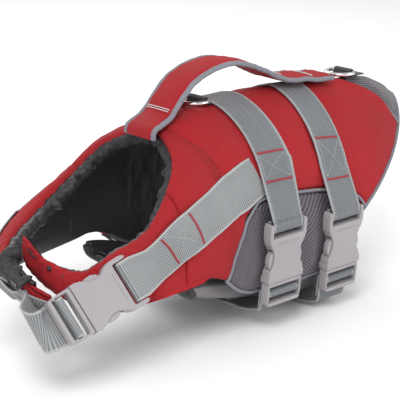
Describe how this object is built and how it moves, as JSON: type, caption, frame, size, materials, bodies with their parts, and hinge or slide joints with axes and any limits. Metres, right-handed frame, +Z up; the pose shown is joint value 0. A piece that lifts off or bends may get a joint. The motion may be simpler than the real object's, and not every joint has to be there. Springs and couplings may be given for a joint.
{
  "type": "dog life jacket",
  "caption": "Padded buoyancy vest for a dog, with a grab handle on the back, side-release buckles on webbing belts, a belly panel and a wrap-round collar.",
  "frame": {"origin": "middle of the overall box, at its lowest level", "axes": "+X towards the dog's tail, +Y towards the dog's right, +Z up; the buckles are on the -Y side"},
  "size_m": [0.519, 0.2016, 0.2458],
  "materials": {
    "red_oxford": "red woven polyester, fine diagonal weave",
    "spacer_mesh": "grey-lilac spacer mesh",
    "black_lining": "black nylon lining, slight sheen",
    "grey_piping": "grey woven piping",
    "belly_cloth": "light grey padded cloth",
    "foam": "closed-cell foam",
    "webbing": "grey polypropylene webbing, twill rib",
    "black_webbing": "black webbing tab",
    "buckle_plastic": "warm light grey acetal, fine matte",
    "ring_steel": "polished welded steel wire"
  },
  "bodies": {
    "jacket": {"saddle_cover_left": "red_oxford", "saddle_cover_right": "red_oxford", "side_mesh_left": "spacer_mesh", "side_mesh_right": "spacer_mesh", "tail_mesh": "spacer_mesh", "saddle_foam_left": "foam", "saddle_foam_right": "foam", "saddle_lining_left": "black_lining", "saddle_lining_right": "black_lining", "wing_cover_left": "red_oxford", "wing_cover_right": "red_oxford", "wing_foam_left": "foam", "wing_foam_right": "foam", "wing_lining_left": "black_lining", "wing_lining_right": "black_lining", "neck_binding_left": "black_lining", "neck_binding_right": "black_lining", "tail_binding": "grey_piping", "belly_cover": "belly_cloth", "belly_foam": "foam", "belly_lining": "black_lining", "front_belt": "webbing", "rear_belt": "webbing", "neck_strap_left": "webbing", "neck_strap_right": "webbing", "chest_buckle_female": "buckle_plastic", "front_buckle_female": "buckle_plastic", "rear_buckle_female": "buckle_plastic", "handle_foot_front": "red_oxford", "handle_foot_rear": "red_oxford", "front_ring_tab": "black_webbing", "rear_ring_tab": "black_webbing"},
    "handle": {"handle_arch": "red_oxford", "handle_edge_left": "grey_piping", "handle_edge_right": "grey_piping"},
    "front_ring": {"front_ring": "ring_steel"},
    "rear_ring": {"rear_ring": "ring_steel"},
    "chest_male": {"chest_buckle_male": "buckle_plastic", "chest_buckle_webbing": "webbing"},
    "chest_arm_a": {"chest_buckle_arm_a": "buckle_plastic"},
    "chest_arm_b": {"chest_buckle_arm_b": "buckle_plastic"},
    "front_male": {"front_buckle_male": "buckle_plastic", "front_buckle_webbing": "webbing"},
    "front_arm_a": {"front_buckle_arm_a": "buckle_plastic"},
    "front_arm_b": {"front_buckle_arm_b": "buckle_plastic"},
    "rear_male": {"rear_buckle_male": "buckle_plastic", "rear_buckle_webbing": "webbing"},
    "rear_arm_a": {"rear_buckle_arm_a": "buckle_plastic"},
    "rear_arm_b": {"rear_buckle_arm_b": "buckle_plastic"}
  },
  "joints": [
    {"name": "handle_sway", "type": "hinge", "parent": "jacket", "child": "handle", "pos_m": [0, 0.00648, 0.20704], "axis": [1, 0, 0], "range_deg": [-12, 12], "stiffness_Nm_per_rad": 0.3},
    {"name": "front_ring_flip", "type": "hinge", "parent": "jacket", "child": "front_ring", "pos_m": [-0.02079, 0.00648, 0.21004], "axis": [0, 1, 0], "range_deg": [0, 150]},
    {"name": "rear_ring_flip", "type": "hinge", "parent": "jacket", "child": "rear_ring", "pos_m": [0.18021, 0.00648, 0.20744], "axis": [0, 1, 0], "range_deg": [0, 150]},
    {"name": "chest_release", "type": "slide", "parent": "jacket", "child": "chest_male", "axis": [-0.9614, 0.0501, -0.2704], "range_m": [0, 0.03]},
    {"name": "chest_squeeze_a", "type": "hinge", "parent": "chest_male", "child": "chest_arm_a", "pos_m": [-0.23249, -0.07221, 0.08998], "axis": [0.1927, 0.8243, -0.5323], "range_deg": [0, 6], "stiffness_Nm_per_rad": 2},
    {"name": "chest_squeeze_b", "type": "hinge", "parent": "chest_male", "child": "chest_arm_b", "pos_m": [-0.22681, -0.08857, 0.06672], "axis": [-0.1927, -0.8243, 0.5323], "range_deg": [0, 6], "stiffness_Nm_per_rad": 2},
    {"name": "front_release", "type": "slide", "parent": "jacket", "child": "front_male", "axis": [0, 0.0797, -0.9968], "range_m": [0, 0.03]},
    {"name": "front_squeeze_a", "type": "hinge", "parent": "front_male", "child": "front_arm_a", "pos_m": [-0.01629, -0.0892, 0.05349], "axis": [0, 0.9968, 0.0797], "range_deg": [0, 6], "stiffness_Nm_per_rad": 2},
    {"name": "front_squeeze_b", "type": "hinge", "parent": "front_male", "child": "front_arm_b", "pos_m": [0.01271, -0.0892, 0.05349], "axis": [0, -0.9968, -0.0797], "range_deg": [0, 6], "stiffness_Nm_per_rad": 2},
    {"name": "rear_release", "type": "slide", "parent": "jacket", "child": "rear_male", "axis": [0, 0.0797, -0.9968], "range_m": [0, 0.03]},
    {"name": "rear_squeeze_a", "type": "hinge", "parent": "rear_male", "child": "rear_arm_a", "pos_m": [0.06371, -0.0878, 0.04749], "axis": [0, 0.9968, 0.0797], "range_deg": [0, 6], "stiffness_Nm_per_rad": 2},
    {"name": "rear_squeeze_b", "type": "hinge", "parent": "rear_male", "child": "rear_arm_b", "pos_m": [0.09271, -0.0878, 0.04749], "axis": [0, -0.9968, -0.0797], "range_deg": [0, 6], "stiffness_Nm_per_rad": 2}
  ]
}
